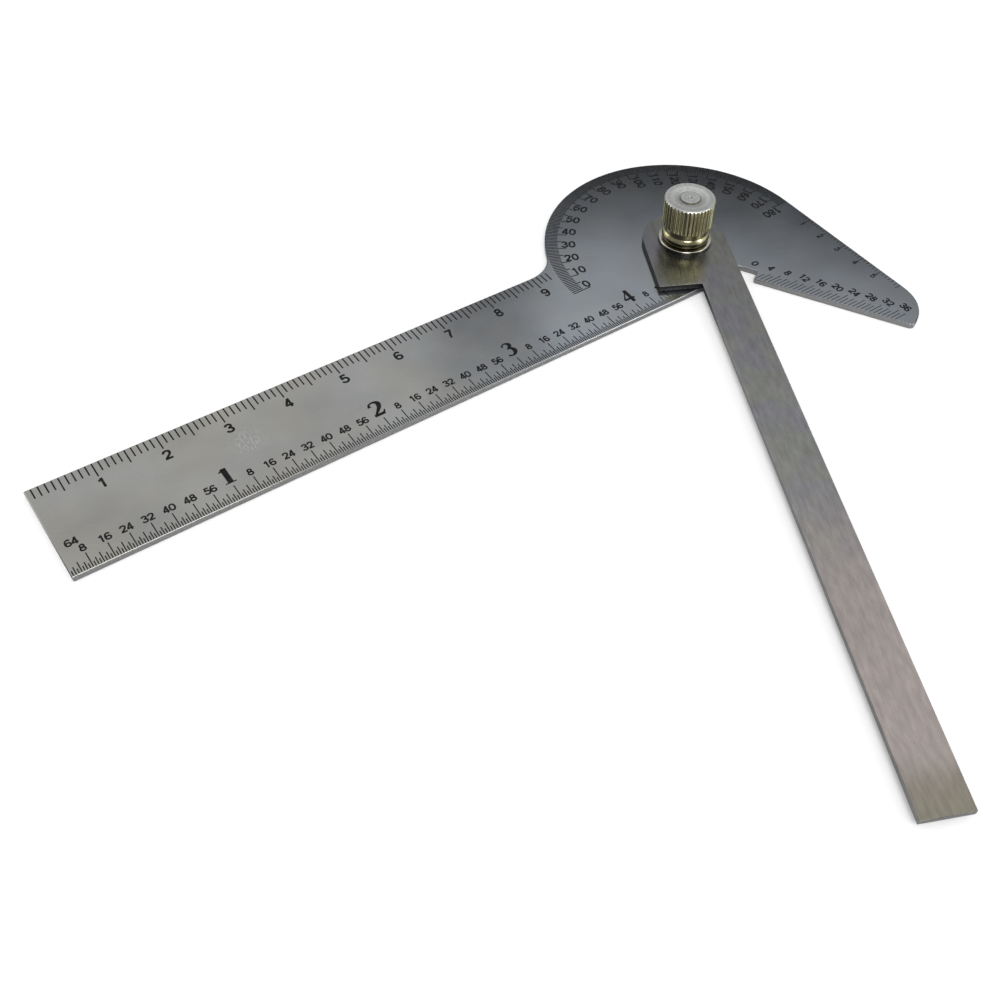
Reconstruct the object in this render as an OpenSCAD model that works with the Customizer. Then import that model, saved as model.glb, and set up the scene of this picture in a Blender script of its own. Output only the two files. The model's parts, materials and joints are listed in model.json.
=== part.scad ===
// Multi-function centre finder: a steel rule with a protractor head and a drill-point tail,
// a swinging arm on the pivot stud, and a knurled clamp knob on a washer.
// The pivot axis is Z, the back of the rule lies on Z = 0, the rule runs towards -X.

/* [Rule] */
// Pivot axis to the zero end of the rule
rule_length = 120; // [60:1:300]
// Width of the rule, inch edge to millimetre edge
rule_width = 19; // [16:0.5:30]
// Thickness of the rule, head and tail, stamped in one
plate_thickness = 1; // [0.9:0.1:2]
// Inch edge to pivot axis
pivot_inset = 11.8; // [10:0.1:16]

/* [Head] */
// Radius of the protractor head about the pivot
head_radius = 26.2; // [22:0.1:40]
// Hollow fillet between the millimetre edge and the head
head_fillet = 7; // [2:0.5:12]

/* [Tail] */
// Drill lip angle between the inch edge's line and the tail's inner edge
drill_angle = 59; // [50:1:65]
// Length of the tail's inner edge, apex of the V to the tip
tail_edge = 33.5; // [20:0.5:38]
// Angle of the tip's corner, inner edge to nose
tip_angle = 108; // [95:1:115]
// Radius that breaks the corner of the tip
tip_radius = 1; // [0.3:0.1:1.5]
// How far the corner relief starts before the apex of the V
relief_lead = 0.2; // [0.1:0.1:1]
// Length of the corner relief along the tail's inner edge, from the apex
relief_length = 3.7; // [2:0.1:6]
// Depth of the corner relief behind the tail's inner edge
relief_depth = 2.4; // [1:0.1:4]

/* [Arm] */
// Pivot axis to the square end of the arm
arm_length = 117.5; // [70:0.5:200]
// Width of the blade, also the radius of the arm's round head
arm_width = 7.9; // [7:0.1:10]
// Thickness of the arm
arm_thickness = 1; // [0.6:0.1:2]
// Pivot axis to the shoulder where the head steps back to the blade
shoulder_reach = 13; // [9:0.5:25]
// Direction of the arm, counted from +X
arm_angle = -115.5; // [-180:0.5:180]

/* [Pivot stud] */
// Diameter of the stud's thread and shank
stud_diameter = 4; // [3:0.5:5]
// How far the countersunk head reaches past the shank
stud_head_rim = 0.8; // [0.4:0.1:0.85]
// Thread that runs up inside the knob
thread_reach = 5.6; // [4:0.1:6]
// Chamfer of the thread's end
thread_chamfer = 0.4; // [0.1:0.1:1]

/* [Clamp knob] */
// Outer diameter of the knurl
knob_diameter = 9.4; // [8:0.1:14]
// Height of the knob above its washer
knob_height = 8; // [7.5:0.1:14]
// Height of the smooth bead at the foot
bead_height = 1.75; // [1:0.05:2.5]
// How far the bead bulges out of the neck
bead_bulge = 0.35; // [0.1:0.05:0.5]
// Height of the plain neck between bead and knurl
neck_height = 1.25; // [0.2:0.05:2]
// How far the neck lies inside the foot of the knurl
neck_step = 0.36; // [0.1:0.02:0.8]
// Ridges round the knurl
knurl_count = 40; // [24:2:60]
// Depth of the knurl's grooves
knurl_depth = 0.2; // [0.1:0.02:0.5]
// How far the chamfers at both ends of the knurl cut in below its grooves
chamfer_cut = 0.04; // [0.04:0.02:0.4]
// Radius of the turned ring in the knob's top
ring_radius = 1.9; // [1:0.1:3]
// Width of the turned ring
ring_width = 0.34; // [0.1:0.02:0.8]
// Depth of the turned ring
ring_depth = 0.17; // [0.05:0.01:0.4]
// Radius and depth of the pip in the middle of the top
pip_radius = 0.38; // [0.1:0.02:0.6]
// Room left in the knob's blind bore above the thread
bore_spare = 0.5; // [0.2:0.1:0.9]

/* [Washer] */
// How far the washer stands out past the knurl
washer_rim = 0.3; // [0.1:0.1:2]
// Thickness of the washer
washer_thickness = 0.6; // [0.4:0.1:1.5]

/* [Clearances] */
// Play between faces that slide on each other
face_gap = 0.03; // [0.01:0.01:0.1]
// Radial play of the arm and the knob on the stud
running_clearance = 0.05; // [0.02:0.01:0.1]
// Radial play of the washer on the stud
washer_clearance = 0.15; // [0.1:0.05:0.4]
// Play of the riveted stud in the plate
rivet_clearance = 0.02; // [0.01:0.01:0.05]

/* [Hidden] */
$fn = 96;

// Height of each piece in the stack on the stud
arm_z = plate_thickness + face_gap;
washer_z = arm_z + arm_thickness + face_gap;
knob_z = washer_z + washer_thickness + face_gap;

// Radii of the turned pieces
stud_radius = stud_diameter / 2;
knurl_radius = knob_diameter / 2;
knurl_chamfer = knurl_depth + chamfer_cut;
neck_radius = knurl_radius - knurl_chamfer - neck_step;
washer_radius = knurl_radius + washer_rim;

// A unit vector in the plane of the rule
function direction(angle) = [cos(angle), sin(angle)];

// Longer than any cut has to reach, how far a cut runs past a face,
// and how far lines and arcs that run into each other overlap, so that they join without a step
reach = 2 * (rule_length + tail_edge + head_radius);
overrun = 1;
lap = 0.001;

// Centre of the hollow fillet, tangent to the millimetre edge and to the head
mm_edge = rule_width - pivot_inset;
fillet_y = mm_edge + head_fillet - lap;
fillet_from_pivot = head_radius + head_fillet - lap;
fillet_x = -sqrt(pow(fillet_from_pivot, 2) - pow(fillet_y, 2));
fillet_centre = [fillet_x, fillet_y];
fillet_in_head = fillet_centre * (head_radius - overrun) / fillet_from_pivot;

// The blade's outer edge bisects the V of inch edge and tail: that sets the apex of the V
bisector = 270 - drill_angle / 2;
along = direction(bisector);
across = direction(bisector + 90);
apex_along = (-pivot_inset - arm_width * across.y) / along.y;
apex = apex_along * along + arm_width * across;

// The nose starts at the tip, at the tip's angle, and runs out tangent to the tail's outer edge
tail_along = direction(-drill_angle);
tail_inward = direction(90 - drill_angle);
tip = apex + tail_edge * tail_along;
tip_to_nose = direction(270 - drill_angle - tip_angle);
nose_radius = (head_radius - tip.x) / (1 + tip_to_nose.x);
nose_centre = tip + nose_radius * tip_to_nose;

// The round that breaks the tip touches the inner edge and the nose from inside
round_start = apex + tip_radius * tail_inward - nose_centre;
round_half = round_start * tail_along;
round_rest = pow(nose_radius - tip_radius, 2) - round_start * round_start + pow(round_half, 2);
round_centre = nose_centre + round_start + (sqrt(round_rest) - round_half) * tail_along;
round_on_nose = (round_centre - nose_centre) / (nose_radius - tip_radius);
round_corner = (round_on_nose - tail_inward) / (1 - round_on_nose * tail_inward);

// Everything below the inch edge and in front of the tail's inner edge, with the corner relief
module v_notch() {
    polygon([apex, apex + reach * tail_along, [-reach, -reach], [-reach, -pivot_inset]]);
    translate(apex)
        rotate(-drill_angle)
            translate([-relief_lead, -overrun])
                square([relief_lead + relief_length, relief_depth + overrun]);
}

// Hollow fillet from the millimetre edge up to the head
module hollow_fillet() {
    difference() {
        polygon([
            fillet_centre,
            [fillet_centre.x, mm_edge - overrun],
            [fillet_in_head.x, mm_edge - overrun],
            fillet_in_head
        ]);
        translate(fillet_centre)
            circle(head_fillet);
    }
}

// Head, rule and tail in one outline, with a sharp tip
module sharp_outline() {
    difference() {
        union() {
            circle(head_radius);
            translate([-rule_length, -pivot_inset])
                square([rule_length, rule_width]);
            hollow_fillet();
            translate([0, nose_centre.y])
                square([head_radius - lap, -nose_centre.y]);
            translate(nose_centre)
                circle(nose_radius);
        }
        v_notch();
    }
}

module frame_outline() {
    difference() {
        sharp_outline();
        polygon([
            round_centre,
            round_centre - (tip_radius + overrun) * tail_inward,
            round_centre + (tip_radius + overrun) * round_corner,
            round_centre + (tip_radius + overrun) * round_on_nose
        ]);
    }
    translate(round_centre)
        circle(tip_radius + lap);
}

// Countersunk shape of the stud's head, grown by a clearance for its seat
module stud_head(clearance) {
    shank = stud_radius + clearance;
    cylinder(h = stud_head_rim, r1 = shank + stud_head_rim, r2 = shank);
}

module rule_frame() {
    color("slategray")
        difference() {
            linear_extrude(plate_thickness)
                frame_outline();
            stud_head(rivet_clearance);
            translate([0, 0, -overrun])
                cylinder(h = plate_thickness + 2 * overrun, r = stud_radius + rivet_clearance);
        }
}

// L-shaped arm: its blade lies to one side of the radial line through the pivot
module arm_outline() {
    circle(arm_width);
    translate([0, -arm_width])
        square([shoulder_reach, 2 * arm_width]);
    square([arm_length, arm_width]);
}

module swing_arm() {
    color("dimgray")
        translate([0, 0, arm_z])
            rotate([0, 0, arm_angle])
                difference() {
                    linear_extrude(arm_thickness)
                        arm_outline();
                    translate([0, 0, -overrun])
                        cylinder(h = arm_thickness + 2 * overrun, r = stud_radius + running_clearance);
                }
}

// Riveted stud: countersunk head flush with the back, shank, and the thread's chamfered end
module pivot_stud() {
    chamfer_z = knob_z + thread_reach - thread_chamfer;
    color("silver") {
        stud_head(0);
        cylinder(h = chamfer_z, r = stud_radius);
        translate([0, 0, chamfer_z])
            cylinder(h = thread_chamfer, r1 = stud_radius, r2 = stud_radius - thread_chamfer);
    }
}

module washer() {
    color("darkkhaki")
        translate([0, 0, washer_z])
            difference() {
                cylinder(h = washer_thickness, r = washer_radius);
                translate([0, 0, -overrun])
                    cylinder(h = washer_thickness + 2 * overrun, r = stud_radius + washer_clearance);
            }
}

// Turned foot of the knob: a bulging bead that presses on the washer, and a plain neck above it
module knob_foot() {
    bead_radius = (pow(bead_height / 2, 2) + pow(bead_bulge, 2)) / (2 * bead_bulge);
    rotate_extrude() {
        square([neck_radius, bead_height + neck_height]);
        intersection() {
            translate([neck_radius + bead_bulge - bead_radius, bead_height / 2])
                circle(bead_radius);
            square([knurl_radius, bead_height]);
        }
    }
}

// Straight knurl: a star of ridges, chamfered at both ends
module knob_knurl() {
    foot = bead_height + neck_height;
    height = knob_height - foot;
    step = 180 / knurl_count;
    translate([0, 0, foot])
        intersection() {
            linear_extrude(height)
                polygon([
                    for (i = [0 : 2 * knurl_count - 1])
                        (knurl_radius - (i % 2) * knurl_depth) * direction(i * step)
                ]);
            rotate_extrude()
                polygon([
                    [0, 0],
                    [knurl_radius - knurl_chamfer, 0],
                    [knurl_radius + overrun, knurl_chamfer + overrun],
                    [knurl_radius + overrun, height - knurl_chamfer - overrun],
                    [knurl_radius - knurl_chamfer, height],
                    [0, height]
                ]);
        }
}

// Turning left in the top face: a ring groove and the centre pip
module knob_top_turning() {
    half = ring_width / 2;
    translate([0, 0, knob_height])
        rotate_extrude() {
            polygon([
                [ring_radius - half, 0],
                [ring_radius - half, overrun],
                [ring_radius + half, overrun],
                [ring_radius + half, 0],
                [ring_radius, -ring_depth]
            ]);
            polygon([[0, -pip_radius], [pip_radius, 0], [pip_radius, overrun], [0, overrun]]);
        }
}

module clamp_knob() {
    bore_depth = thread_reach + bore_spare;
    color("khaki")
        translate([0, 0, knob_z])
            difference() {
                union() {
                    knob_foot();
                    knob_knurl();
                }
                knob_top_turning();
                translate([0, 0, -overrun])
                    cylinder(h = bore_depth + overrun, r = stud_radius + running_clearance);
            }
}

rule_frame();
swing_arm();
pivot_stud();
washer();
clamp_knob();
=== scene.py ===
# %% [markdown]
# The tool is a flat steel rule with a protractor head and a drill-point tail, a blade that swings
# on a stud, and a knurled knob that clamps the blade. The solids already hold every size and joint,
# so they are loaded first and everything else is measured on them. What is left for this script is
# what the eye expects of the real thing: broken edges, a rounded knurl, a thread, the etched scales
# and the finish of each metal. The tool's sizes are in millimetres, those of the studio in metres.

# %% Frame
import json
import math

import bmesh
import bpy
from mathutils import Matrix, Quaternion, Vector


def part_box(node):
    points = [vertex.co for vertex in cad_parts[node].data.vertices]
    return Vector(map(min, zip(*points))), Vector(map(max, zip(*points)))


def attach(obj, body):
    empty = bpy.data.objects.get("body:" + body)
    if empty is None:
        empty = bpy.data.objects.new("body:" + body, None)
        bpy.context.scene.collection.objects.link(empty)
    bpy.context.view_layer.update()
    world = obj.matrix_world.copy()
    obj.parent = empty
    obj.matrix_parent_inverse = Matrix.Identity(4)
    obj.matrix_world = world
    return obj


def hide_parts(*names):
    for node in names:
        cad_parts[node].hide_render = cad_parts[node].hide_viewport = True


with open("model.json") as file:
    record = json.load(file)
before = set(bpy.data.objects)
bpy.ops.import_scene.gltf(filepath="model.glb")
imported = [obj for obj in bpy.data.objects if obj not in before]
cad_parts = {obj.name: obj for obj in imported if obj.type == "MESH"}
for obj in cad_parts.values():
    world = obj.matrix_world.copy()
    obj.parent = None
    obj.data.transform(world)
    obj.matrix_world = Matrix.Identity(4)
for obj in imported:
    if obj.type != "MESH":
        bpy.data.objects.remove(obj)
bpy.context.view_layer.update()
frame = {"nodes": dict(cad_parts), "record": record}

MM = 0.001
NEAR = 0.01
rule_points = [v.co / MM for v in frame["nodes"]["rule_frame"].data.vertices]
plate_top = max(p.z for p in rule_points)
zero_end = min(p.x for p in rule_points)
head_radius = max(p.y for p in rule_points)
inch_edge = min(p.y for p in rule_points if p.x < zero_end + NEAR)
mm_edge = max(p.y for p in rule_points if p.x < zero_end + NEAR)
mounts = {mount["name"]: Vector(mount["pos_m"]) / MM for mount in frame["record"]["mounts"]}
apex = mounts["v_seat"].xy
print(f"rule ends at x {zero_end:.2f}, edges at y {inch_edge:.2f} and {mm_edge:.2f} mm")
print(f"head radius {head_radius:.2f}, plate top {plate_top:.2f} mm")
print(f"apex of the V at {apex.x:.2f}, {apex.y:.2f} mm")

# %% [markdown]
# The camera stands over the near side of the rule, close to it, so that the blade's end looms and the
# rule narrows towards the head. It could be placed by eye, but the graduations give its place exactly:
# they are a millimetre grid in perspective. The picture was cropped off centre, and the lens shift
# puts the optical axis back where it was.

# %% Camera
FRAME_PX = 1001
FOCAL_PX = 1012.8
AXIS_OFFSET_PX = 100
SENSOR_WIDTH = 36
EYE = Vector((-116.6, -118.28, 116.99)) * MM
AZIMUTH, ELEVATION, ROLL = (math.radians(a) for a in (-41.34, 54.68, 5.32))

camera = bpy.data.objects.new("camera", bpy.data.cameras.new("camera"))
camera.data.sensor_width = SENSOR_WIDTH
camera.data.lens = SENSOR_WIDTH * FOCAL_PX / FRAME_PX
camera.data.shift_x = -AXIS_OFFSET_PX / FRAME_PX
camera.data.shift_y = AXIS_OFFSET_PX / FRAME_PX
camera.data.clip_start = 10 * MM
backwards = Vector((
    math.sin(AZIMUTH) * math.cos(ELEVATION),
    -math.cos(AZIMUTH) * math.cos(ELEVATION),
    math.sin(ELEVATION),
))
camera.rotation_mode = "QUATERNION"
camera.rotation_quaternion = (-backwards).to_track_quat("-Z", "Y") @ Quaternion((0, 0, 1), ROLL)
camera.location = EYE
bpy.context.scene.collection.objects.link(camera)
bpy.context.scene.camera = camera
print(f"lens {camera.data.lens:.2f} mm, {EYE.length / MM:.0f} mm from the pivot")

# %% [markdown]
# A finish is arithmetic on positions: grain here, a darker wall there. Nodes can be linked one by one,
# but a formula reads better. So a small class wraps a socket and overloads the operators, and each use
# of them adds a Math node. The reflected forms are there so that `1 - mask` works.

# %% Sockets with arithmetic
class Wire:
    """An output socket. Arithmetic on it adds Math nodes to its recipe."""

    def __init__(self, recipe, socket):
        self.recipe = recipe
        self.socket = socket

    def math(self, operation, first, second):
        return self.recipe.node("ShaderNodeMath", {"operation": operation}, {0: first, 1: second})

    def __add__(self, other):
        return self.math("ADD", self, other)

    def __radd__(self, other):
        return self.math("ADD", other, self)

    def __sub__(self, other):
        return self.math("SUBTRACT", self, other)

    def __rsub__(self, other):
        return self.math("SUBTRACT", other, self)

    def __mul__(self, other):
        return self.math("MULTIPLY", self, other)

    def __rmul__(self, other):
        return self.math("MULTIPLY", other, self)

    def __abs__(self):
        return self.math("ABSOLUTE", self, 0)

    def larger(self, other):
        return self.math("MAXIMUM", self, other)

    def sine(self):
        return self.math("SINE", self, 0)


# %% [markdown]
# A second class owns the nodes of one material or of the world. Its method `node` adds any kind, with
# the settings first and then the values or links of the sockets. The other methods are short names
# for what the finishes use often. Colours go through Mix and Vector Math, because a Math node would
# grey them.

# %% Recipe of a finish
STANDING, LYING = 0.35, 0.8


def grey(level):
    return (level, level, level, 1)


class Recipe:
    """The nodes of one material or of the world, written from scratch."""

    def __init__(self, owner):
        owner.use_nodes = True
        self.owner = owner
        self.tree = owner.node_tree
        self.tree.nodes.clear()

    def node(self, kind, settings=None, sockets=None, output=0):
        """Adds a node: settings first, then the values or links of its sockets. Returns one output."""
        made = self.tree.nodes.new(kind)
        for name, value in (settings or {}).items():
            setattr(made, name, value)
        for key, value in (sockets or {}).items():
            if isinstance(value, Wire):
                self.tree.links.new(value.socket, made.inputs[key])
            else:
                made.inputs[key].default_value = value
        return Wire(self, made.outputs[output]) if made.outputs else made

    def vector(self, operation, sockets, output=0):
        return self.node("ShaderNodeVectorMath", {"operation": operation}, sockets, output)

    def place(self):
        """Where a point of the piece is, in millimetres."""
        point = self.node("ShaderNodeTexCoord", output="Object")
        return self.vector("SCALE", {0: point, "Scale": 1 / MM})

    def turned_place(self, place, angle):
        """The same point after a turn about the vertical, in radians."""
        return self.node("ShaderNodeMapping", sockets={"Vector": place, "Rotation": (0, 0, angle)})

    def part(self, vector, axis):
        return self.node("ShaderNodeSeparateXYZ", sockets={0: vector}, output=axis)

    def noise(self, place, stretch, detail=2):
        """Noise from 0 to 1. Stretch is how many blotches a millimetre holds along each axis."""
        spread = self.vector("MULTIPLY", {0: place, 1: stretch})
        return self.node("ShaderNodeTexNoise", sockets={"Vector": spread, "Scale": 1, "Detail": detail})

    def ramp(self, value, low, high):
        sockets = {"Value": value, "From Min": low, "From Max": high}
        return self.node("ShaderNodeMapRange", {"interpolation_type": "SMOOTHSTEP"}, sockets)

    def mix(self, share, first, second):
        sockets = {0: share, 6: first, 7: second}
        return self.node("ShaderNodeMix", {"data_type": "RGBA"}, sockets, output=2)

    def shade(self, colour, strength):
        vector = colour if isinstance(colour, Wire) else colour[:3]
        return self.vector("SCALE", {0: vector, "Scale": strength})

    def wall(self):
        """1 on faces that stand upright on the piece, 0 on those that lie flat."""
        normal = self.node("ShaderNodeTexCoord", output="Normal")
        return 1 - self.ramp(abs(self.part(normal, "Z")), STANDING, LYING)

    def bump(self, height, depth_mm, strength):
        sockets = {"Height": height, "Distance": depth_mm * MM, "Strength": strength}
        return self.node("ShaderNodeBump", sockets=sockets)

    def surface(self, sockets):
        shader = self.node("ShaderNodeBsdfPrincipled", sockets=sockets)
        self.node("ShaderNodeOutputMaterial", sockets={"Surface": shader})
        print(f"finish {self.owner.name}: {len(self.tree.nodes)} nodes")
        return self.owner


# %% [markdown]
# Flat metal shows what stands around it more than it shows its own colour. The tool lies on a white
# floor in a white room. Light Path tells apart the rays that see the room, which find plain white,
# and the diffuse ones, which find a softer light that leaves room for the lamps and for the shadow.

# %% White room
AMBIENT = 0.8


def seen_as_room(recipe):
    """1 for rays that look at the room, 0 for those that only gather its light."""
    rays = [recipe.node("ShaderNodeLightPath", output=f"Is {kind} Ray")
            for kind in ("Camera", "Glossy", "Transmission")]
    return rays[0].larger(rays[1]).larger(rays[2])


world = bpy.data.worlds.new("white_room")
bpy.context.scene.world = world
room = Recipe(world)
room_light = room.mix(seen_as_room(room), grey(AMBIENT), grey(1))
background = room.node("ShaderNodeBackground", sockets={"Color": room_light})
room.node("ShaderNodeOutputWorld", sockets={"Surface": background})
view_settings = bpy.context.scene.view_settings
view_settings.view_transform = "Standard"
print(f"room {world.name}: {len(room.tree.nodes)} nodes")

# %% [markdown]
# The floor is pale paper, a hair below the tool. Light alone would leave it light grey, so for the
# camera it also glows by what it lacks to white, and more so far from the tool, where the lamps fade.
# The tool's shadow still darkens it. The metal mirrors it as a mid grey, so that the cut edges, which
# look out over it, don't flare.

# %% Floor
FLOOR_WHITE = 0.8
FLOOR_IN_METAL = 0.35
FLOOR_RADIUS, FLOOR_SIDES = 3, 64
FLOOR_DROP = 0.02 * MM
FAR_GLOW, FAR_FROM, FAR_TO = 0.25, 0.25, 0.8


def stage_piece(name, corners, finish, faces=None):
    """A face or a few of the studio, which isn't part of the tool."""
    mesh = bpy.data.meshes.new(name)
    mesh.from_pydata(corners, [], faces or [range(len(corners))])
    mesh.materials.append(finish)
    piece = bpy.data.objects.new(name, mesh)
    bpy.context.scene.collection.objects.link(piece)
    return piece


paper = Recipe(bpy.data.materials.new("floor_paper"))
from_tool = paper.vector("LENGTH", {0: paper.node("ShaderNodeTexCoord", output="Object")}, output="Value")
glow = 1 - FLOOR_WHITE + FAR_GLOW * paper.ramp(from_tool, FAR_FROM, FAR_TO)
seen = paper.node("ShaderNodeLightPath", output="Is Camera Ray")
mirrored = paper.node("ShaderNodeLightPath", output="Is Glossy Ray")
floor_paper = paper.surface({
    "Base Color": paper.mix(mirrored, grey(FLOOR_WHITE), grey(FLOOR_IN_METAL)),
    "Roughness": 1.0,
    "Specular IOR Level": 0.0,
    "Emission Color": paper.shade(grey(1), seen * glow),
    "Emission Strength": 1.0,
})
turns = [math.tau * i / FLOOR_SIDES for i in range(FLOOR_SIDES)]
stage_piece("floor", [
    (FLOOR_RADIUS * math.cos(a), FLOOR_RADIUS * math.sin(a), -FLOOR_DROP) for a in turns
], floor_paper)

# %% [markdown]
# In the picture the far side of the head is nearly black and the rule is pale, though both are one
# sheet. That is a reflection: a camera low over the near side sees, in the flat head, whatever stands
# behind the tool. A photographer makes such a gradient with a graded card, and so does this script:
# a curved screen, white at its top and black below, with a paler foot that only lower views find. A
# narrow post in front of it dims one strip of the plate. Another screen stands behind the camera, as
# the dark room does there, and gives the knob something to mirror. Only mirrored rays find the
# screens, so they neither show nor shade.

# %% Graded screens
SCREEN_RADIUS, POST_RADIUS = 0.8, 0.784
SCREEN_COLUMNS = 24
FOOT_PALE_UNTIL, FOOT_DARK_FROM = 8, 26


def screen(name, first, last, top, dark_until, pale_from, darkness, radius=SCREEN_RADIUS, foot=0):
    """An arc of screen about the pivot. Its grading goes by elevation in degrees, seen from there."""
    def rise(elevation):
        return radius * math.tan(math.radians(elevation))

    recipe = Recipe(bpy.data.materials.new(name))
    height = recipe.part(recipe.node("ShaderNodeTexCoord", output="Object"), "Z")
    grading = recipe.ramp(height, rise(dark_until), rise(pale_from))
    foot_glow = foot * (1 - recipe.ramp(height, rise(FOOT_PALE_UNTIL), rise(FOOT_DARK_FROM)))
    paint = recipe.surface({
        "Base Color": grey(0),
        "Specular IOR Level": 0.0,
        "Emission Color": recipe.mix(grading.larger(foot_glow), grey(darkness), grey(1)),
        "Emission Strength": 1.0,
    })
    angles = [math.radians(first + (last - first) * i / SCREEN_COLUMNS) for i in range(SCREEN_COLUMNS + 1)]
    columns = [(radius * math.cos(a), radius * math.sin(a)) for a in angles]
    corners = [(x, y, z) for z in (0, rise(top)) for x, y in columns]
    upper = len(columns)
    faces = [(i, i + 1, upper + i + 1, upper + i) for i in range(SCREEN_COLUMNS)]
    made = stage_piece(name, corners, paint, faces)
    for ray in ("camera", "diffuse", "transmission", "volume_scatter", "shadow"):
        setattr(made, f"visible_{ray}", False)


screen("back_screen", -25, 115, top=46, dark_until=31, pale_from=38.5, darkness=0.05, foot=0.5)
screen("window_post", 56.5, 66, top=44.5, dark_until=38, pale_from=50, darkness=0.42, radius=POST_RADIUS)
screen("front_screen", 140, 285, top=70, dark_until=58, pale_from=68, darkness=0.22)

# %% [markdown]
# Turned metal needs lamps with an edge to show its curves: each bead and ridge draws a small picture
# of the lamp. Three soft boxes stand around the tool on the camera's side, where the flat plate doesn't
# mirror them. The bead shows them as one broad highlight at the front and a narrow one at either side.

# %% Lamps
def softbox(name, azimuth, elevation, distance, width, height, watts):
    """An area lamp that faces the pivot. Azimuth 0 is +X, counted towards +Y."""
    lamp = bpy.data.lights.new(name, "AREA")
    lamp.shape = "RECTANGLE"
    lamp.size = width
    lamp.size_y = height
    lamp.energy = watts
    holder = bpy.data.objects.new(name, lamp)
    a, e = math.radians(azimuth), math.radians(elevation)
    towards = Vector((math.cos(a) * math.cos(e), math.sin(a) * math.cos(e), math.sin(e)))
    holder.location = towards * distance
    holder.rotation_mode = "QUATERNION"
    holder.rotation_quaternion = towards.to_track_quat("Z", "Y")
    bpy.context.scene.collection.objects.link(holder)
    print(f"lamp {name}: {watts} W")


softbox("key_softbox", azimuth=244, elevation=51, distance=0.9, width=0.36, height=0.36, watts=2.7)
softbox("left_softbox", azimuth=124, elevation=24, distance=0.7, width=0.3, height=0.4, watts=0.3)
softbox("right_softbox", azimuth=304, elevation=24, distance=0.7, width=0.14, height=0.4, watts=0.8)

# %% [markdown]
# The rule, head and tail are one stamping of stainless sheet, tumbled to a satin and then etched. Up
# close it has a fine grain, faint clouds where the pickling was uneven, a few hair scratches and one
# rubbed spot. It is a little warm at the zero end and cooler towards the head. Its cut walls are
# rougher and plain grey. All of that is noise at several sizes, in the piece's own millimetres, so it
# keeps its scale and travels with the piece.

# %% Satin plate finish
WARM_STEEL, COOL_STEEL = (0.316, 0.308, 0.283, 1), (0.275, 0.301, 0.333, 1)
WARM_UNTIL, COOL_FROM = -85, -20
SHEARED_STEEL = grey(0.6)
HAIR_SLANT = 0.5
RUBBED_SPOT, RUBBED_INNER, RUBBED_OUTER = (-89, -1.5, 1), 0.5, 4


def satin_plate():
    recipe = Recipe(bpy.data.materials.new("satin_plate"))
    place = recipe.place()
    cloud = recipe.noise(place, (0.07, 0.09, 0.07), detail=3)
    tint = recipe.noise(place, (0.13, 0.11, 0.3))
    grain = recipe.noise(place, (3, 3, 3), detail=3)
    slanted = recipe.turned_place(place, HAIR_SLANT)
    hair = recipe.ramp(recipe.noise(slanted, (0.09, 4, 1), detail=1), 0.66, 0.76)
    from_spot = recipe.vector("DISTANCE", {0: place, 1: RUBBED_SPOT}, output="Value")
    flecks = recipe.ramp(recipe.noise(place, (3.5, 1, 1), detail=3), 0.46, 0.6)
    rubbed = flecks * (1 - recipe.ramp(from_spot, RUBBED_INNER, RUBBED_OUTER))
    headwards = recipe.ramp(recipe.part(place, "X"), WARM_UNTIL, COOL_FROM)
    cool = 0.7 * headwards + 0.3 * recipe.ramp(tint, 0.3, 0.7)
    face = recipe.mix(cool, WARM_STEEL, COOL_STEEL)
    face = recipe.shade(face, 0.68 + 0.5 * cloud + 0.12 * grain + 0.06 * hair + 0.25 * rubbed)
    cut = recipe.shade(SHEARED_STEEL, 0.7 + 0.6 * grain)
    wall = recipe.wall()
    return recipe.surface({
        "Base Color": recipe.mix(wall, face, cut),
        "Metallic": 1.0,
        "Roughness": 0.1 + 0.05 * cloud + 0.05 * grain + 0.18 * wall,
        "Normal": recipe.bump(0.7 * grain + 0.3 * hair, depth_mm=0.01, strength=0.25),
    })


SATIN_PLATE = satin_plate()

# %% [markdown]
# The blade is ground lengthwise on a belt, which leaves streaks along it. A streak is a noise squeezed
# hard across the blade and stretched along it, so the blade's own direction comes first. It is the
# direction of the longest straight edge of its solid.

# %% Direction of the blade
WELD = 0.001
FLAT = math.radians(1)


def clean_copy(node):
    """A node's mesh in millimetres, with its doubled points merged and its flat faces whole."""
    bm = bmesh.new()
    bm.from_mesh(frame["nodes"][node].data)
    bmesh.ops.scale(bm, vec=Vector((1, 1, 1)) / MM, verts=bm.verts)
    bmesh.ops.remove_doubles(bm, verts=bm.verts, dist=WELD)
    bmesh.ops.dissolve_limit(bm, angle_limit=FLAT, verts=bm.verts, edges=bm.edges)
    return bm


def longest_direction(bm):
    edge = max(bm.edges, key=lambda e: e.calc_length())
    along = edge.verts[1].co - edge.verts[0].co
    return math.atan2(along.y, along.x)


blade_solid = clean_copy("swing_arm")
blade_turn = longest_direction(blade_solid)
blade_solid.free()
print(f"the blade lies at {math.degrees(blade_turn):.1f} degrees")

# %% [markdown]
# Near the pivot the blade is a dull grey with a breath of olive, further out it carries a paler, warm
# painted reflection, and the tip is olive. Soft dabs lie under the streaks. The cut edges are bare,
# but painted shade keeps them dark near the head. Each change of colour goes by the distance along
# the blade, so it stays put while the blade swings.

# %% Brushed blade finish
DULL_GREY, OLIVE_GREY = (0.207, 0.207, 0.226, 1), (0.214, 0.22, 0.203, 1)
# Further out the blade carries a paler, warm painted reflection.
PAINTED_WARM_REFLECTION, WARM_REFLECTION_FROM, WARM_REFLECTION_FULL = (0.345, 0.304, 0.289, 1), 54, 94
OLIVE_TIP, TIP_FROM, TIP_FULL = (0.236, 0.219, 0.178, 1), 107, 116
# Near the head the cut edges carry painted shade. Further out they are bare.
PAINTED_SHADE_EDGE, BARE_EDGE = grey(0.06), grey(0.5)
EDGE_SHADE_UNTIL, BARE_FROM = 14, 30


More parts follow.
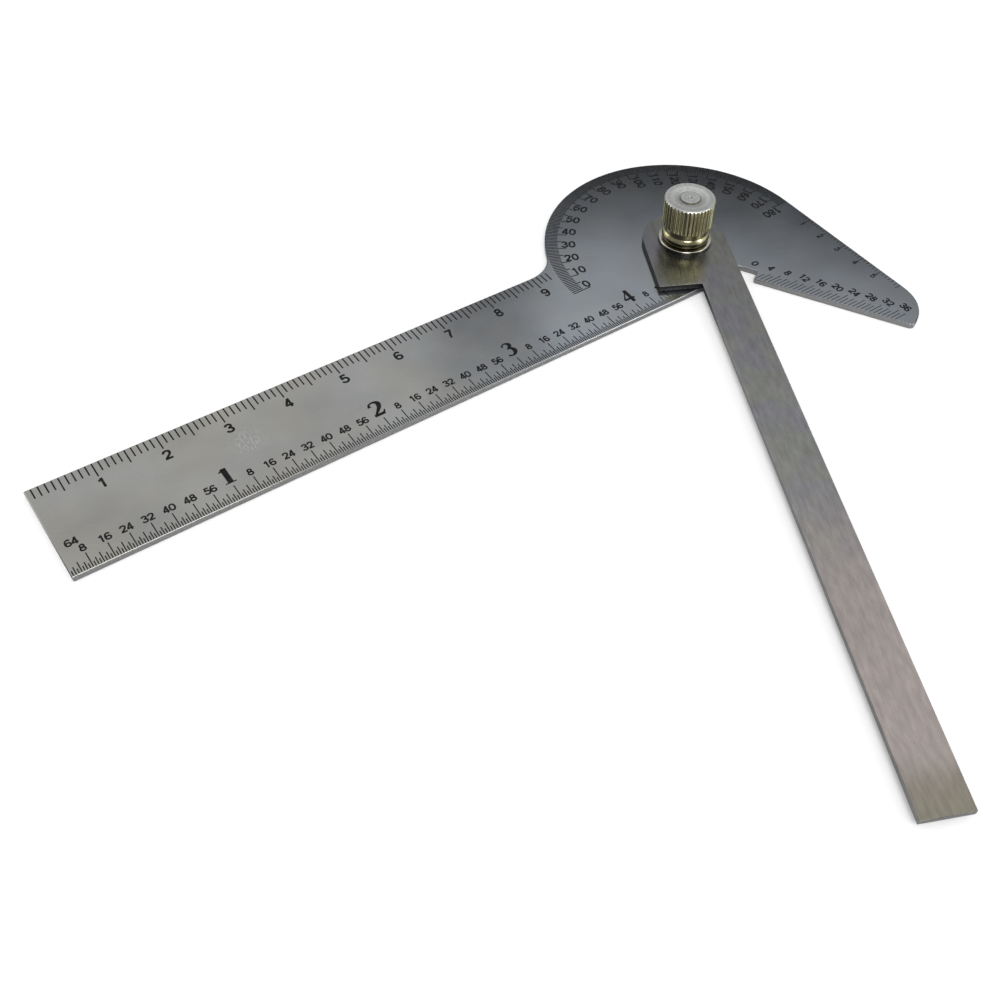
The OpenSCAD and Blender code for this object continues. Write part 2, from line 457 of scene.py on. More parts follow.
def brushed_blade():
    recipe = Recipe(bpy.data.materials.new("brushed_blade"))
    place = recipe.place()
    lengthwise = recipe.turned_place(place, -blade_turn)
    along = abs(recipe.part(lengthwise, "X"))
    streak = recipe.noise(lengthwise, (0.11, 2.6, 1), detail=3)
    fine = recipe.noise(lengthwise, (0.35, 9, 1))
    dab = recipe.noise(lengthwise, (0.35, 1.1, 1))
    cloud = recipe.noise(place, (0.08, 0.08, 0.08))
    olive = recipe.ramp(recipe.noise(place, (0.16, 0.16, 0.3)), 0.35, 0.65)
    face = recipe.mix(olive, DULL_GREY, OLIVE_GREY)
    # The painted warm reflection grows along the blade.
    face = recipe.mix(recipe.ramp(along, WARM_REFLECTION_FROM, WARM_REFLECTION_FULL), face, PAINTED_WARM_REFLECTION)
    face = recipe.mix(recipe.ramp(along, TIP_FROM, TIP_FULL), face, OLIVE_TIP)
    face = recipe.shade(face, 0.38 + 0.22 * cloud + 0.6 * dab + 0.28 * streak + 0.2 * fine)
    # Painted shade on the cut edges near the head.
    cut = recipe.mix(recipe.ramp(along, EDGE_SHADE_UNTIL, BARE_FROM), PAINTED_SHADE_EDGE, BARE_EDGE)
    cut = recipe.shade(cut, 0.7 + 0.6 * fine)
    wall = recipe.wall()
    return recipe.surface({
        "Base Color": recipe.mix(wall, face, cut),
        "Metallic": 1.0,
        "Roughness": 0.19 + 0.12 * streak + 0.06 * fine + 0.1 * wall,
        "Normal": recipe.bump(0.5 * streak + 0.5 * fine, depth_mm=0.012, strength=0.18),
    })


BRUSHED_BLADE = brushed_blade()

# %% [markdown]
# Whatever comes off a lathe carries its fine rings. They are a sine of the distance from the axis, and
# a little noise makes them wander. The knob's height and its knurl's radius are measured here too,
# since its finish changes with both.

# %% Lathe rings
RINGS_PER_MM = 9
RING_WANDER = 5
TOP_BAND = 1
knob_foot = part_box("clamp_knob")[0].z / MM
knob_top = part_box("clamp_knob")[1].z / MM


def widest(node, low, high):
    """A node's largest distance from the pivot axis between two heights, in millimetres."""
    points = [v.co / MM for v in frame["nodes"][node].data.vertices]
    return max(p.xy.length for p in points if low <= p.z <= high)


def lathe_rings(recipe, place):
    """Distance from the axis, and the fine rings that a lathe leaves."""
    flat = recipe.vector("MULTIPLY", {0: place, 1: (1, 1, 0)})
    distance = recipe.vector("LENGTH", {0: flat}, output="Value")
    wander = recipe.noise(place, (0.7, 0.7, 0.7))
    rings = 0.5 + 0.5 * (math.tau * RINGS_PER_MM * distance + RING_WANDER * wander).sine()
    return distance, rings


knurl_radius = widest("clamp_knob", knob_top - TOP_BAND, knob_top)
print(f"knob from z {knob_foot:.2f} to {knob_top:.2f}, knurl radius {knurl_radius:.2f} mm")

# %% [markdown]
# The knob is turned from brass and plated. Its sides keep a yellow cast, and its faced top is pale,
# scuffed and ringed, with painted shade in the turned ring and the pip. The knurl's grooves are dark,
# partly with dirt and partly with painted shade, and painted shade darkens the lower bead and, thinly,
# the neck. It could be painted on by hand, but the grooves go by the distance from the axis and the
# bead's shade by the height, so a few masks put both where they belong.

# %% Plated brass finish
BEAD_HEIGHT, KNURL_FOOT = 1.75, 3.0
RING_RADIUS = 1.9
BLUR = 0.1
YELLOW_PLATE, PALE_PLATE = (0.51, 0.465, 0.245, 1), (0.63, 0.58, 0.355, 1)
FACED_PLATE = (0.5, 0.51, 0.5, 1)
# One dark colour for the painted shade on the lower bead and the neck, and for the dirt and painted shade
# in the grooves.
GRIME_AND_SHADE, BEAD_SHADE_UNTIL, BEAD_UNSHADED_FROM = (0.03, 0.024, 0.01, 1), 0.8, 1.4
# Below the crest, where the dirt and painted shade in the grooves are full and where they end.
DIRT_AND_SHADE_DEEP, DIRT_AND_SHADE_SHALLOW = 0.2, 0.05
# The pip and the turned ring are darkened with painted shade.
PIP_DARK, PIP_CLEAR = 0.3, 0.5
RING_DARK, RING_CLEAR = 0.1, 0.35
FACED_FROM, FACED_FULL = 0.6, 0.4
BROAD_RINGS_PER_MM = 0.7


def plated_brass():
    recipe = Recipe(bpy.data.materials.new("plated_brass"))
    place = recipe.place()
    distance, rings = lathe_rings(recipe, place)
    wall = recipe.wall()
    smear = recipe.noise(place, (0.5, 0.5, 0.25), detail=3)
    grain = recipe.noise(place, (6, 6, 2))
    scuff = recipe.noise(place, (2.2, 2.2, 2.2), detail=4)
    above_foot = recipe.part(place, "Z") - knob_foot
    knurled = recipe.ramp(above_foot, KNURL_FOOT - BLUR, KNURL_FOOT + BLUR)
    necked = recipe.ramp(above_foot, BEAD_HEIGHT - BLUR, BEAD_HEIGHT + BLUR) * (1 - knurled)
    # The knurl's grooves darken, partly with dirt and partly with painted shade.
    on_crest = recipe.ramp(distance, knurl_radius - DIRT_AND_SHADE_DEEP, knurl_radius - DIRT_AND_SHADE_SHALLOW)
    dirt_and_shade = (1 - on_crest) * wall * knurled
    # Painted shade on the lower bead and, thinly, on the neck.
    bead_shade = (1 - recipe.ramp(above_foot, BEAD_SHADE_UNTIL, BEAD_UNSHADED_FROM)).larger(0.4 * necked)
    brass = recipe.mix(recipe.ramp(smear, 0.3, 0.7), YELLOW_PLATE, PALE_PLATE)
    brass = recipe.mix((0.6 * dirt_and_shade).larger(0.95 * bead_shade), brass, GRIME_AND_SHADE)
    broad = 0.5 + 0.5 * (math.tau * BROAD_RINGS_PER_MM * distance).sine()
    # Painted shade in the pip and in the turned ring.
    pip = 1 - recipe.ramp(distance, PIP_DARK, PIP_CLEAR)
    groove = 1 - recipe.ramp(abs(distance - RING_RADIUS), RING_DARK, RING_CLEAR)
    worn = 0.5 + 0.24 * rings + 0.14 * grain + 0.24 * broad + 0.7 * scuff
    top = recipe.shade(FACED_PLATE, worn - 0.7 * pip.larger(0.75 * groove))
    height = knob_top - knob_foot
    faced = (1 - wall) * recipe.ramp(above_foot, height - FACED_FROM, height - FACED_FULL)
    return recipe.surface({
        "Base Color": recipe.mix(faced, brass, top),
        "Metallic": 1.0,
        "Roughness": 0.16 + 0.24 * faced + 0.08 * smear + 0.15 * dirt_and_shade,
        "Normal": recipe.bump(0.6 * rings * faced + 0.4 * grain, depth_mm=0.012, strength=0.35),
    })


PLATED_BRASS = plated_brass()

# %% [markdown]
# Washer and stud are plain turned steel. The washer's face is painted darker inside a given radius,
# close under the knob's bead, and the upright walls carry painted shade, so that only the rounded rim
# is bright. One recipe serves both, with a tone, a roughness and that radius.

# %% Turned steel finish
def turned_steel(name, tone, roughness, dark_radius):
    recipe = Recipe(bpy.data.materials.new(name))
    place = recipe.place()
    distance, rings = lathe_rings(recipe, place)
    smear = recipe.noise(place, (0.4, 0.4, 0.8), detail=3)
    # The face is painted darker inside the given radius, and the upright walls carry painted shade.
    inner_dark = 1 - recipe.ramp(distance, dark_radius - BLUR, dark_radius + BLUR)
    dark = recipe.wall().larger(inner_dark)
    return recipe.surface({
        "Base Color": recipe.shade(tone, (0.78 + 0.2 * rings + 0.24 * smear) * (1 - 0.85 * dark)),
        "Metallic": 1.0,
        "Roughness": roughness + 0.14 * smear,
        "Normal": recipe.bump(rings, depth_mm=0.01, strength=0.3),
    })


WASHER_STEEL = turned_steel("washer_steel", (0.68, 0.65, 0.55, 1), roughness=0.16, dark_radius=4.25)
STUD_STEEL = turned_steel("stud_steel", (0.42, 0.42, 0.43, 1), roughness=0.24, dark_radius=1)

# %% [markdown]
# The scales are etched and filled with black. The fill is matt, a little worn, and greyer where cloths
# have rubbed it. It could be a mask in the plate's own finish, but marks that are pieces of their own
# stay sharp from any distance, so the fill is a finish by itself.

# %% Etched black finish
FRESH_FILL, WORN_FILL = (0.006, 0.006, 0.007, 1), (0.022, 0.022, 0.024, 1)


def etched_black():
    recipe = Recipe(bpy.data.materials.new("etched_black"))
    place = recipe.place()
    worn = recipe.ramp(recipe.noise(place, (0.9, 0.9, 0.9), detail=3), 0.45, 0.75)
    speck = recipe.noise(place, (14, 14, 14), detail=1)
    return recipe.surface({
        "Base Color": recipe.mix(worn, FRESH_FILL, WORN_FILL),
        "Roughness": 0.5 + 0.2 * speck,
        "Specular IOR Level": 0.12,
    })


ETCHED_BLACK = etched_black()

# %% [markdown]
# Every new piece ends the same way: its normals turn outwards, it goes back from millimetres to
# metres, takes its finish, and rides on the body that carries it. Counting edges with one face or
# more than two shows at once whether the mesh is closed.

# %% Piece helper
CREASE = math.radians(40)


def add_piece(name, bm, body, finish, stands_for=None):
    """Turns a mesh in millimetres into a finished piece that rides on a body."""
    bmesh.ops.recalc_face_normals(bm, faces=bm.faces)
    bmesh.ops.scale(bm, vec=Vector((1, 1, 1)) * MM, verts=bm.verts)
    for edge in bm.edges:
        edge.smooth = edge.calc_face_angle(0) < CREASE
    open_edges = sum(not edge.is_manifold for edge in bm.edges)
    mesh = bpy.data.meshes.new(name)
    bm.to_mesh(mesh)
    bm.free()
    mesh.materials.append(finish)
    piece = bpy.data.objects.new(name, mesh)
    bpy.context.scene.collection.objects.link(piece)
    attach(piece, body)
    if stands_for:
        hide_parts(stands_for)
    print(f"{name}: {len(mesh.polygons)} faces, {open_edges} open edges")


# %% [markdown]
# Sheared sheet has razor edges, so both stampings are tumbled until every arris is a tiny round. A
# bevel on a clean copy of the solid does that. It is wide enough to catch a line of light and far
# too small to change an outline.

# %% Rule and blade
RULE_ROUND, BLADE_ROUND = 0.16, 0.07
ARRIS = math.radians(30)
LEVEL = 0.99


def tumbled(node, edge_round):
    bm = clean_copy(node)
    arrises = [edge for edge in bm.edges if edge.calc_face_angle(0) > ARRIS]
    bmesh.ops.bevel(bm, geom=arrises, offset=edge_round, segments=3, profile=0.5, affect="EDGES")
    for face in bm.faces:
        face.smooth = abs(face.normal.z) < LEVEL
    return bm


add_piece("tumbled_rule", tumbled("rule_frame", RULE_ROUND),
          "frame", SATIN_PLATE, "rule_frame")
add_piece("tumbled_blade", tumbled("swing_arm", BLADE_ROUND),
          "arm", BRUSHED_BLADE, "swing_arm")

# %% [markdown]
# Knob, washer and stud are lathe work: a profile spun about the pivot axis. Where it runs from axis to
# axis, the skin closes by itself. A screw modifier could spin it, but the knurl's ridges and the stud's
# thread are no longer round, and for them a function gives the radius at each angle and height.

# %% Lathe
def arc(centre, radius, start, end, steps):
    """Points of an arc in the profile's plane, from one angle in degrees to another."""
    angles = [math.radians(start + (end - start) * i / steps) for i in range(steps + 1)]
    return [(centre[0] + radius * math.cos(a), centre[1] + radius * math.sin(a)) for a in angles]


def turned(profile, columns, radius_at=lambda radius, height, angle: radius):
    """The skin that a profile of radius and height leaves when it is spun about the pivot axis."""
    bm = bmesh.new()
    rows = []
    for radius, height in profile:
        count = columns if radius > 0 else 1
        angles = [math.tau * i / count for i in range(count)]
        radii = [radius_at(radius, height, a) if radius > 0 else 0 for a in angles]
        row = [bm.verts.new((r * math.cos(a), r * math.sin(a), height)) for r, a in zip(radii, angles)]
        rows.append(row)
    for low, high in zip(rows, rows[1:]):
        for i in range(columns):
            pairs = [(low, i), (low, i + 1), (high, i + 1), (high, i)]
            bm.faces.new(dict.fromkeys(row[k % len(row)] for row, k in pairs)).smooth = True
    return bm


# %% [markdown]
# The knob from below: a blind bore, a polished bead that presses on the washer, a plain neck, and a
# straight knurl of forty ridges, chamfered at both ends, with broad round crests and narrow grooves.
# The top is faced flat, with one turned ring and the pip that the tailstock left.

# %% Clamp knob
RIDGES, FACETS_PER_RIDGE = 40, 8
GROOVE_DEPTH, CREST_BREADTH = 0.17, 1.5
KNOB_CHAMFER = 0.24
NECK_RADIUS = 4.1
BEAD_BULGE = 0.35
BORE_RADIUS, BORE_DEPTH, BORE_MOUTH = 2.05, 6.1, 0.25
RING_HALF, RING_DEPTH = 0.17, 0.17
RING_SECTION = (3, 0), (0.4, 1), (-0.4, 1), (-0.6, 0)
PIP_RADIUS, PIP_POINT = 0.38, 0.05
BEAD_STEPS, CHAMFER_STEPS, KNURL_STEPS = 16, 8, 6


def knob_profile():
    height = knob_top - knob_foot
    bead_half = BEAD_HEIGHT / 2
    bead_radius = (bead_half ** 2 + BEAD_BULGE ** 2) / (2 * BEAD_BULGE)
    bead_centre = (NECK_RADIUS + BEAD_BULGE - bead_radius, bead_half)
    bead_turn = math.degrees(math.asin(bead_half / bead_radius))
    shoulder = knurl_radius - KNOB_CHAMFER
    straight = height - KNURL_FOOT - 2 * KNOB_CHAMFER
    slope = [KNOB_CHAMFER * i / CHAMFER_STEPS for i in range(CHAMFER_STEPS + 1)]
    points = [(0, BORE_DEPTH), (BORE_RADIUS, BORE_DEPTH)]
    points += [(BORE_RADIUS, BORE_MOUTH), (BORE_RADIUS + BORE_MOUTH, 0)]
    points += arc(bead_centre, bead_radius, -bead_turn, bead_turn, BEAD_STEPS)
    points += [(NECK_RADIUS, KNURL_FOOT)]
    points += [(shoulder + s, KNURL_FOOT + s) for s in slope]
    points += [(knurl_radius, KNURL_FOOT + KNOB_CHAMFER + straight * i / KNURL_STEPS)
               for i in range(1, KNURL_STEPS)]
    points += [(shoulder + s, height - s) for s in reversed(slope)]
    points += [(RING_RADIUS + RING_HALF * s, height - RING_DEPTH * d) for s, d in RING_SECTION]
    points += [(PIP_RADIUS, height), (PIP_POINT, height - PIP_RADIUS), (0, height - PIP_RADIUS)]
    return [(radius, knob_foot + z) for radius, z in points]


def knurl(radius, height, angle):
    """The profile's radius, cut back where a groove is deeper."""
    if height < knob_foot + KNURL_FOOT:
        return radius
    wave = (1 - math.cos(RIDGES * angle)) / 2
    return min(radius, knurl_radius - GROOVE_DEPTH * wave ** CREST_BREADTH)


add_piece("knurled_knob", turned(knob_profile(), RIDGES * FACETS_PER_RIDGE, knurl),
          "knob", PLATED_BRASS, "clamp_knob")

# %% [markdown]
# The washer is turned too: flat faces, a rounded rim above, a smaller round below, and a hole with some
# play. Its profile never meets the axis. It comes back to where it started instead, and the last row of
# points is welded to the first.

# %% Washer
WASHER_HOLE, WASHER_HOLE_BREAK = 2.15, 0.05
WASHER_ROUND, WASHER_UNDER_ROUND = 0.2, 0.08
WASHER_UNDER_STEPS, WASHER_STEPS, WASHER_COLUMNS = 3, 6, 96
washer_low, washer_high = (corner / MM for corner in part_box("washer"))
washer_radius = washer_high.x


def washer_profile():
    low, high = washer_low.z, washer_high.z
    under = (washer_radius - WASHER_UNDER_ROUND, low + WASHER_UNDER_ROUND)
    over = (washer_radius - WASHER_ROUND, high - WASHER_ROUND)
    points = [(WASHER_HOLE, low + WASHER_HOLE_BREAK), (WASHER_HOLE + WASHER_HOLE_BREAK, low)]
    points += arc(under, WASHER_UNDER_ROUND, -90, 0, WASHER_UNDER_STEPS)
    points += arc(over, WASHER_ROUND, 0, 90, WASHER_STEPS)
    points += [(WASHER_HOLE + WASHER_HOLE_BREAK, high), (WASHER_HOLE, high - WASHER_HOLE_BREAK)]
    return points + points[:1]


washer_bm = turned(washer_profile(), WASHER_COLUMNS)
bmesh.ops.remove_doubles(washer_bm, verts=washer_bm.verts, dist=WELD)
add_piece("turned_washer", washer_bm, "washer", WASHER_STEEL, "washer")

# %% [markdown]
# The stud's countersunk head lies flush in the back of the plate, and above the shank runs an M4
# thread. A thread is a ridge whose height at each angle is one pitch further on after a full turn, so
# the same lathe can cut it, given enough rows of points for each turn.

# %% Stud
THREAD_PITCH, THREAD_DEPTH = 0.7, 0.4
THREAD_START, THREAD_RUNOUT = 2.6, 0.5
ROWS_PER_TURN, STUD_COLUMNS = 12, 64
HEAD_RADIUS, HEAD_HEIGHT, HEAD_EDGE = 2.8, 0.8, 0.05
stud_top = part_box("pivot_stud")[1].z / MM
shank_radius = widest("pivot_stud", plate_top, stud_top)


def stud_profile():
    rim = HEAD_RADIUS - HEAD_EDGE
    points = [(0, 0), (rim, 0), (rim, HEAD_EDGE), (shank_radius, HEAD_HEIGHT)]
    rows = round((stud_top - THREAD_START) / THREAD_PITCH * ROWS_PER_TURN)
    for i in range(rows + 1):
        z = THREAD_START + (stud_top - THREAD_START) * i / rows
        points.append((min(shank_radius, shank_radius - THREAD_DEPTH + stud_top - z), z))
    return points + [(0, stud_top)]


def thread(radius, height, angle):
    """The shank's radius, cut back by the thread's groove between its runout and the top."""
    turns_up = (height / THREAD_PITCH - angle / math.tau) % 1
    groove = abs(2 * turns_up - 1)
    depth = THREAD_DEPTH * min(1, max(0, (height - THREAD_START) / THREAD_RUNOUT))
    return min(radius, shank_radius - depth * groove)


add_piece("threaded_stud", turned(stud_profile(), STUD_COLUMNS, thread),
          "frame", STUD_STEEL, "pivot_stud")

# %% [markdown]
# Every graduation is a short bar on the plate. The bars are closed prisms that start inside the sheet
# and stand a hundredth of a millimetre proud, less than the play under the blade, so it still swings
# over them. A scale is then a loop over its divisions.

# %% Graduations of the rule
SINK, PROUD = 0.03, 0.012
EDGE_GAP = 0.02
FROM_EDGE = RULE_ROUND + EDGE_GAP
MM_TICKS, MM_TICK_WIDTH = 93, 0.23
MM_TICK_LENGTHS = {5: 2.95, 1: 2.1}
INCH, INCH_PARTS = 25.4, 64
INCH_SCALE, INCH_TICK_WIDTH = 4.5, 0.17
INCH_TICK_LENGTHS = {8: 3.0, 4: 2.05, 2: 1.5, 1: 0.95}


def unit(degrees):
    return Vector((math.cos(math.radians(degrees)), math.sin(math.radians(degrees))))


def prism(bm, corners):
    """A closed prism on the plate's top, over a convex outline."""
    rings = [[bm.verts.new((c.x, c.y, z)) for c in corners] for z in (plate_top - SINK, plate_top + PROUD)]
    bm.faces.new(reversed(rings[0]))
    bm.faces.new(rings[1])
    for i in range(len(corners)):
        j = (i + 1) % len(corners)
        bm.faces.new((rings[0][i], rings[0][j], rings[1][j], rings[1][i]))


def bar(bm, start, along, length, width):
    side = along.orthogonal() * width / 2
    end = start + along * length
    prism(bm, [start + side, start - side, end - side, end + side])


def coarsest(step, lengths):
    """The length of a tick, by the largest division that it falls on."""
    return next(length for division, length in lengths.items() if step % division == 0)


mm_ticks = bmesh.new()
for step in range(1, MM_TICKS + 1):
    start = Vector((zero_end + step, mm_edge - FROM_EDGE))
    bar(mm_ticks, start, unit(-90), coarsest(step, MM_TICK_LENGTHS), MM_TICK_WIDTH)
add_piece("mm_ticks", mm_ticks, "frame", ETCHED_BLACK)

inch_ticks = bmesh.new()
for step in range(1, round(INCH_SCALE * INCH_PARTS) + 1):
    start = Vector((zero_end + step * INCH / INCH_PARTS, inch_edge + FROM_EDGE))
    bar(inch_ticks, start, unit(90), coarsest(step, INCH_TICK_LENGTHS), INCH_TICK_WIDTH)
add_piece("inch_ticks", inch_ticks, "frame", ETCHED_BLACK)

# %% [markdown]
# The protractor's degrees run clockwise from the rule's own direction, right round the head. Each
# degree is a bar that points at the dial's centre. The etching never sits quite true on the stamping:
# here that centre lies half a millimetre beside the pivot, while the bars still end on circles about
# the pivot.

# %% Protractor ticks
HALF_TURN = 180
DEGREE_WIDTH = 0.2
DEGREE_INNER = {10: 22.3, 5: 23.1, 1: 23.8}
DIAL_CENTRE = Vector((0.35, -0.5))


def dial(degree, radius):
    """Where a degree's line from the dial's centre meets a circle about the pivot."""
    outwards = unit(HALF_TURN - degree)
    ahead = DIAL_CENTRE.dot(outwards)
    reach = math.sqrt(ahead ** 2 - DIAL_CENTRE.length_squared + radius ** 2) - ahead
    return DIAL_CENTRE + outwards * reach


degree_ticks = bmesh.new()
for degree in range(HALF_TURN + 1):
    start = dial(degree, head_radius - FROM_EDGE)
    end = dial(degree, coarsest(degree, DEGREE_INNER))
    bar(degree_ticks, start, (end - start).normalized(), (end - start).length, DEGREE_WIDTH)
add_piece("degree_ticks", degree_ticks, "frame", ETCHED_BLACK)

# %% [markdown]
# Along the tail's inner edge the ticks are parallel to the rule, a thirty-second of an inch apart,
# because they measure a drill's lip. Its outer edge has a second, fainter scale of the same division.

# %% Tail ticks
DRILL_ANGLE = 59
THIRTY_SECOND = INCH / 32
TAIL_TICK_WIDTH = 0.13
TAIL_TICK_LENGTHS = {4: 3.2, 2: 2.7, 1: 2.3}
TAIL_FIRST, TAIL_LAST = 5, 38
RIM_FIRST, RIM_LAST = 4, 36
RIM_TICK_LENGTHS = {6: 1.5, 1: 0.9}
RIM_ZERO = -2.8


def on_tail(step):
    """A point of the tail's inner edge, a number of thirty-seconds of an inch from the apex."""
    return apex + unit(-DRILL_ANGLE) * step * THIRTY_SECOND


def on_rim(step, inwards):
    """A point beside the tail's outer edge, a number of thirty-seconds of an inch along it."""
    return Vector((head_radius - inwards, RIM_ZERO - step * THIRTY_SECOND))


tail_ticks = bmesh.new()
for step in range(TAIL_FIRST, TAIL_LAST + 1):
    start = on_tail(step) + unit(90 - DRILL_ANGLE) * FROM_EDGE
    bar(tail_ticks, start, unit(0), coarsest(step, TAIL_TICK_LENGTHS), TAIL_TICK_WIDTH)
for step in range(RIM_FIRST, RIM_LAST + 1):
    bar(tail_ticks, on_rim(step, FROM_EDGE), unit(180), coarsest(step, RIM_TICK_LENGTHS), TAIL_TICK_WIDTH)
add_piece("tail_ticks", tail_ticks, "frame", ETCHED_BLACK)

# %% [markdown]
# The small figures are a plain bold sans, and the whole inches have numerals with serifs. Both are
# drawn as a sign painter would, with a pen: each stroke is a few points, and a smooth curve runs through
# them. Text objects could serve too, but their one font has neither weight. A figure is drawn one unit
# high, to both sides of its middle.

# %% Figures
LOOP = (0, 1), (-0.72, 0.76), (-1, 0), (-0.72, -0.76), (0, -1)
LOOP_LAP = 0.04


def loop(x, y, wide, high):
    """A closed oval as two strokes, left and right, which overlap a little at both ends."""
    left = [(x + wide * u, y + high * v) for u, v in LOOP]
    lapped = [(x + LOOP_LAP, y + high), *left, (x + LOOP_LAP, y - high)]
    return [lapped, [(2 * x - u, v) for u, v in left]]


SIX = [(0.23, 0.77), (0.14, 0.88), (0, 0.915), (-0.18, 0.82), (-0.265, 0.55), (-0.255, 0.3)]
FIGURES = {
    "0": loop(0, 0.5, 0.26, 0.415),
    "1": [[(0.06, 0), (0.06, 1)], [(-0.19, 0.74), (-0.05, 0.82), (0.06, 0.96)]],
    "2": [[(-0.25, 0.69), (-0.19, 0.85), (0, 0.915), (0.19, 0.84), (0.23, 0.68), (0.12, 0.46),
           (-0.22, 0.12)],
          [(-0.3, 0.085), (0.29, 0.085)]],
    "3": [[(-0.24, 0.75), (-0.16, 0.87), (0, 0.915), (0.17, 0.84), (0.19, 0.68), (0.08, 0.56),
           (-0.07, 0.53)],
          [(-0.07, 0.53), (0.13, 0.49), (0.245, 0.32), (0.18, 0.15), (0, 0.085), (-0.18, 0.14),
           (-0.26, 0.28)]],
    "4": [[(0.12, 0), (0.12, 1)], [(0.1, 0.95), (-0.25, 0.28)], [(-0.32, 0.26), (0.31, 0.26)]],
    "5": [[(-0.2, 0.915), (0.24, 0.915)], [(-0.15, 0.95), (-0.21, 0.47)],
          [(-0.22, 0.5), (-0.06, 0.59), (0.11, 0.57), (0.25, 0.42), (0.24, 0.23), (0.11, 0.1),
           (-0.06, 0.085), (-0.2, 0.14), (-0.27, 0.27)]],
    "6": [SIX, *loop(0, 0.31, 0.25, 0.225)],
    "7": [[(-0.28, 0.915), (0.28, 0.915)], [(0.23, 0.89), (0.06, 0.55), (-0.05, 0.22), (-0.08, 0)]],
    "8": [*loop(0, 0.72, 0.195, 0.195), *loop(0, 0.295, 0.25, 0.21)],
    "9": [[(-x, 1 - y) for x, y in SIX], *loop(0, 0.69, 0.25, 0.225)],
}
print(f"{len(FIGURES)} figures of {sum(len(strokes) for strokes in FIGURES.values())} strokes")

# %% [markdown]
# The pen lays a stroke on the plate as a ribbon with a flat top, closed at both ends. Its half width is
# given at each point, as the third number. Strokes that cross lie a hair apart in height, so that no
# two faces share a plane.

# %% Pen
PEN_STEPS = 4
FIGURE_PEN = 0.097
STROKE_LIFT = 0.0005


def smooth_stroke(points):
    """A stroke's points and half widths, with more of them put in along a smooth curve."""
    if len(points) == 2:
        return [Vector(p) for p in points]
    knots = [Vector(p) for p in (points[0], *points, points[-1])]
    stroke = []
    for before, start, end, after in zip(knots, knots[1:], knots[2:], knots[3:]):
        for i in range(PEN_STEPS):
            t = i / PEN_STEPS
            bend = (2 * start + (end - before) * t + (2 * before - 5 * start + 4 * end - after) * t ** 2
                    + (3 * start - before - 3 * end + after) * t ** 3)
            stroke.append(bend / 2)
    return stroke + [knots[-1]]


def pen(bm, points, spot, lift):
    """Lays one stroke on the plate as a closed ribbon, from drawing units to a spot on the plate."""
    stroke = smooth_stroke(points)
    heights = (plate_top - SINK, plate_top + PROUD + lift)
    ribs = []
    for k, point in enumerate(stroke):
        along = (stroke[min(k + 1, len(stroke) - 1)] - stroke[max(k - 1, 0)]).xy.normalized()
        side = along.orthogonal() * point.z
        edges = [spot @ (point.xy + side).to_3d(), spot @ (point.xy - side).to_3d()]
        corners = [(edges[0], 0), (edges[1], 0), (edges[1], 1), (edges[0], 1)]
        ribs.append([bm.verts.new((e.x, e.y, heights[level])) for e, level in corners])
    bm.faces.new(ribs[0])
    bm.faces.new(reversed(ribs[-1]))
    for near, far in zip(ribs, ribs[1:]):
        for i in range(4):
            j = (i + 1) % 4
            bm.faces.new((near[i], near[j], far[j], far[i]))


def stamp(bm, figures, centre, turn, height, pitch):
    """Puts figures on the plate, centred on a point, reading along a direction in degrees."""
    for i, figure in enumerate(figures):
        aside = Matrix.Translation(((i - (len(figures) - 1) / 2) * pitch, -height / 2, 0))
        rotation = Matrix.Rotation(math.radians(turn), 4, "Z")
        spot = Matrix.Translation(centre.to_3d()) @ rotation @ aside @ Matrix.Scale(height, 4)
        for order, stroke in enumerate(FIGURES[figure]):
            pen(bm, [(x, y, FIGURE_PEN) for x, y in stroke], spot, STROKE_LIFT * order)


# %% [markdown]
# Where the figures go follows each scale's own habit. On the rule, centimetres stand over their ticks
# and sixty-fourths over every eighth of an inch, with the division itself named in the corner.

# %% Figures on the rule
MM_FIGURE, MM_FIGURE_PITCH, MM_FIGURE_INSET = 2.03, 1.4, 4.63
INCH_FIGURE, INCH_FIGURE_PITCH, INCH_FIGURE_INSET = 1.43, 0.95, 4.3
CORNER_FIGURE_ASIDE, CORNER_FIGURE_INSET = 2.25, 6.13
CENTIMETRE, EIGHTH = 10, 8

mm_figures = bmesh.new()
for step in range(CENTIMETRE, MM_TICKS + 1, CENTIMETRE):
    centre = Vector((zero_end + step, mm_edge - MM_FIGURE_INSET))
    stamp(mm_figures, str(step // CENTIMETRE), centre, 0, MM_FIGURE, MM_FIGURE_PITCH)
add_piece("mm_figures", mm_figures, "frame", ETCHED_BLACK)

inch_figures = bmesh.new()
for step in range(EIGHTH, round(INCH_SCALE * INCH_PARTS) + 1, EIGHTH):
    if step % INCH_PARTS:
        centre = Vector((zero_end + step * INCH / INCH_PARTS, inch_edge + INCH_FIGURE_INSET))
        stamp(inch_figures, str(step % INCH_PARTS), centre, 0, INCH_FIGURE, INCH_FIGURE_PITCH)
corner = Vector((zero_end + CORNER_FIGURE_ASIDE, inch_edge + CORNER_FIGURE_INSET))
stamp(inch_figures, str(INCH_PARTS), corner, 0, INCH_FIGURE, INCH_FIGURE_PITCH)
add_piece("inch_figures", inch_figures, "frame", ETCHED_BLACK)

# %% [markdown]
# The protractor's figures lie beside their ticks and read inwards. The tail's figures stand at the ends
# of their ticks, turned with them.

# %% Figures on the head and tail
DEGREE_FIGURE, DEGREE_FIGURE_PITCH = 1.85, 1.36
DEGREE_FIGURE_STEP, DEGREE_FIGURE_START, DEGREE_FIGURE_ASIDE = 10, 23.15, 0.2
TAIL_FIGURE, TAIL_FIGURE_PITCH, TAIL_FIGURE_OUT = 1.55, 1.08, 5.05
TAIL_FIGURE_STEP, TAIL_FIGURE_LAST = 4, 36
RIM_FIGURE, RIM_FIGURE_INSET = 1.3, 2.4
RIM_FIGURE_STEP, RIM_FIGURES = 6, 5

